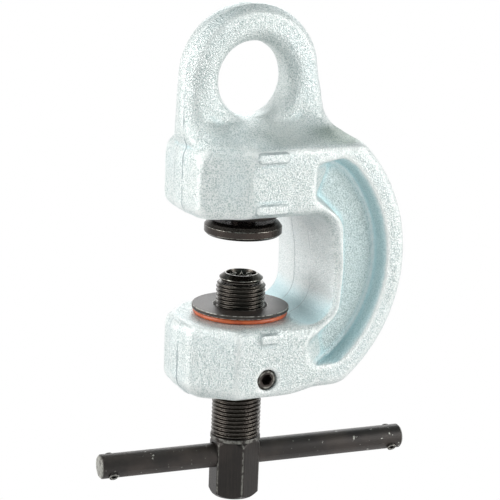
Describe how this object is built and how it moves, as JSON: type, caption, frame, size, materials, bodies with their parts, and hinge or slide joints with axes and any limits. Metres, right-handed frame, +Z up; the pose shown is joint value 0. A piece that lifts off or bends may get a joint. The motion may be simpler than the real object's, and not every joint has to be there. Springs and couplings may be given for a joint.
{
  "type": "screw lifting clamp",
  "caption": "Forged C-frame lifting clamp with a lifting eye, a swivel pad above, and a pointed clamp screw with a sliding tee bar below.",
  "frame": {"origin": "centre of the lifting eye's bore, on the screw axis", "axes": "+Z up along the clamp screw, +X towards the spine of the C frame, +Y away from the side with the gauge marks"},
  "size_m": [0.158, 0.0652, 0.2436],
  "materials": {
    "forging": "satin pale silver coating on a forged surface",
    "blackened_steel": "satin black oxide, oiled",
    "spring_steel": "plain spring wire",
    "seal": "satin orange elastomer"
  },
  "bodies": {
    "frame": {"forged_body": "forging", "threaded_bush": "blackened_steel", "seal_ring": "seal", "bush_set_screw": "blackened_steel", "pad_seat": "blackened_steel"},
    "point": {"screw_point": "blackened_steel", "point_snap_ring": "spring_steel"},
    "screw": {"clamp_screw": "blackened_steel"},
    "bar": {"tee_bar": "blackened_steel", "roll_pin_left": "blackened_steel", "roll_pin_right": "blackened_steel"},
    "pad_ring": {"pad_snap_ring": "spring_steel"},
    "pad": {"swivel_pad": "blackened_steel"}
  },
  "joints": [
    {"name": "screw_travel", "type": "slide", "parent": "frame", "child": "point", "axis": [0, 0, 1], "range_m": [-0.014, 0.018]},
    {"name": "screw_turn", "type": "hinge", "parent": "point", "child": "screw", "pos_m": [0, 0, -0.1], "axis": [0, 0, 1], "range_deg": [-2520, 3240]},
    {"name": "bar_slide", "type": "slide", "parent": "screw", "child": "bar", "axis": [0.9923, -0.1218, 0.0209], "range_m": [-0.069, 0.05]},
    {"name": "pad_turn", "type": "hinge", "parent": "frame", "child": "pad_ring", "pos_m": [0, 0, -0.0563], "axis": [0, 0, 1], "continuous": true},
    {"name": "pad_tilt", "type": "hinge", "parent": "pad_ring", "child": "pad", "pos_m": [0, 0, -0.0563], "axis": [0, 1, 0], "range_deg": [-5, 5]}
  ],
  "couplings": [
    {"joint": "screw_travel", "follows": "screw_turn", "m_per_rad": 0.00031831}
  ]
}
